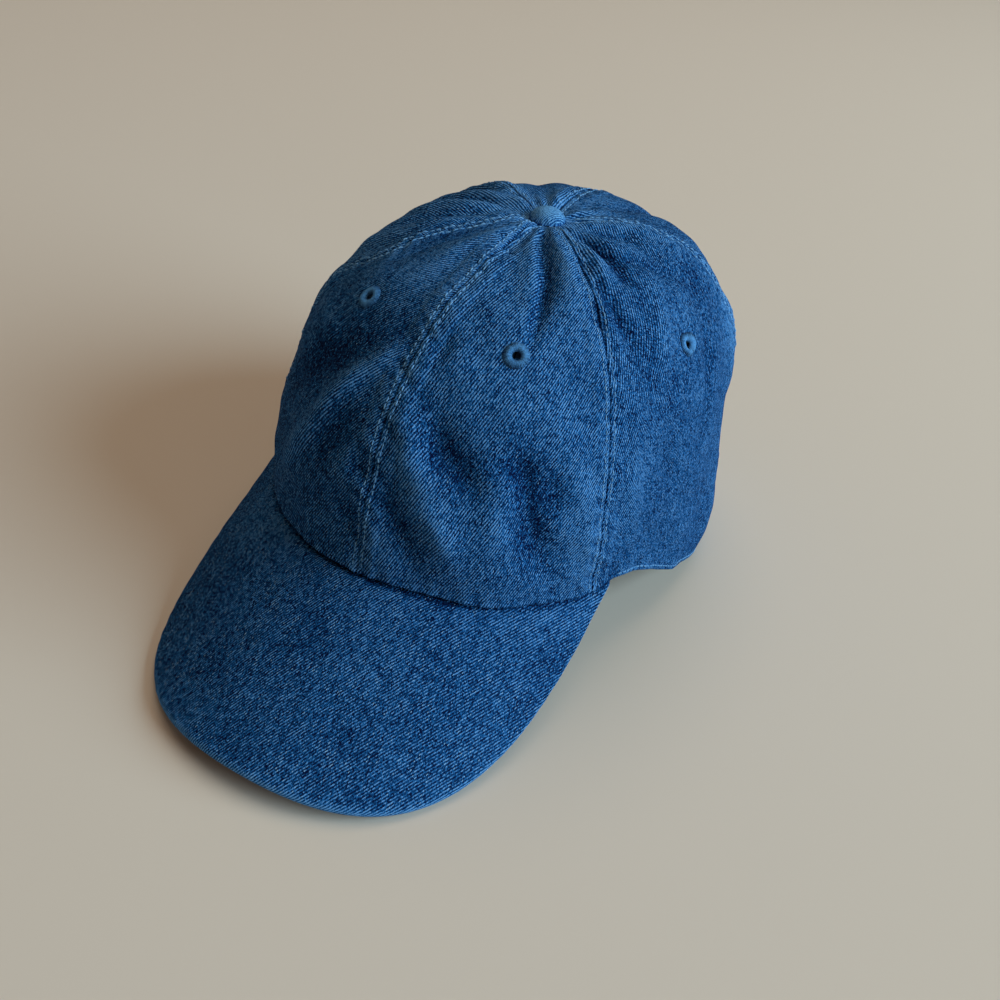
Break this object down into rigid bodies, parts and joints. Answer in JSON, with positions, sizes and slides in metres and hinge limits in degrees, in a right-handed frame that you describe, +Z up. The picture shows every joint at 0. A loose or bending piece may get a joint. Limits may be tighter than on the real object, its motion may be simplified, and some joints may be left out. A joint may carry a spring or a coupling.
{
  "type": "baseball cap",
  "caption": "Soft unstructured denim cap with sewn crown panels, stitched eyelets, a curved brim and an adjustable buckled strap.",
  "frame": {"origin": "centre of the bounding box on the floor that the cap stands on", "axes": "+Z up, brim points to -Y, wearer's left is +X"},
  "size_m": [0.1642, 0.2658, 0.1409],
  "materials": {
    "denim": "washed indigo twill",
    "denim_brim": "washed indigo twill with pale slubs",
    "denim_under": "darker indigo twill",
    "eyelet_thread": "embroidered blue thread",
    "tape": "navy cotton twill tape",
    "sweatband": "navy cotton twill",
    "board": "stiff white sheet",
    "button_denim": "faded stretched denim",
    "steel": "plain stamped steel",
    "brass": "antique brass, worn at the edges"
  },
  "bodies": {
    "cap": {"front_left_panel": "denim", "front_right_panel": "denim", "side_left_panel": "denim", "side_right_panel": "denim", "back_left_panel": "denim", "back_right_panel": "denim", "front_left_eyelet": "eyelet_thread", "front_right_eyelet": "eyelet_thread", "side_left_eyelet": "eyelet_thread", "side_right_eyelet": "eyelet_thread", "back_left_eyelet": "eyelet_thread", "back_right_eyelet": "eyelet_thread", "seam_tape_front": "tape", "seam_tape_front_left": "tape", "seam_tape_front_right": "tape", "seam_tape_back_left": "tape", "seam_tape_back_right": "tape", "seam_tape_back": "tape", "opening_binding": "denim_under", "sweatband": "sweatband", "brim_top": "denim_brim", "brim_board": "board", "brim_under": "denim_under", "button_cover": "button_denim", "button_shell": "steel", "button_rivet": "steel", "keeper_tab": "denim_under", "buckle_frame": "brass", "buckle_pin": "brass"},
    "strap": {"strap": "denim"},
    "gate": {"buckle_gate": "brass"}
  },
  "joints": [
    {"name": "strap_adjust", "type": "hinge", "parent": "cap", "child": "strap", "pos_m": [-0.00235, 0.04472, 0.014], "axis": [0, 0, -1], "range_deg": [-12, 8]},
    {"name": "gate_flip", "type": "hinge", "parent": "cap", "child": "gate", "pos_m": [0.02146, 0.12893, 0.014], "axis": [0, 0, -1], "range_deg": [0, 100]}
  ]
}
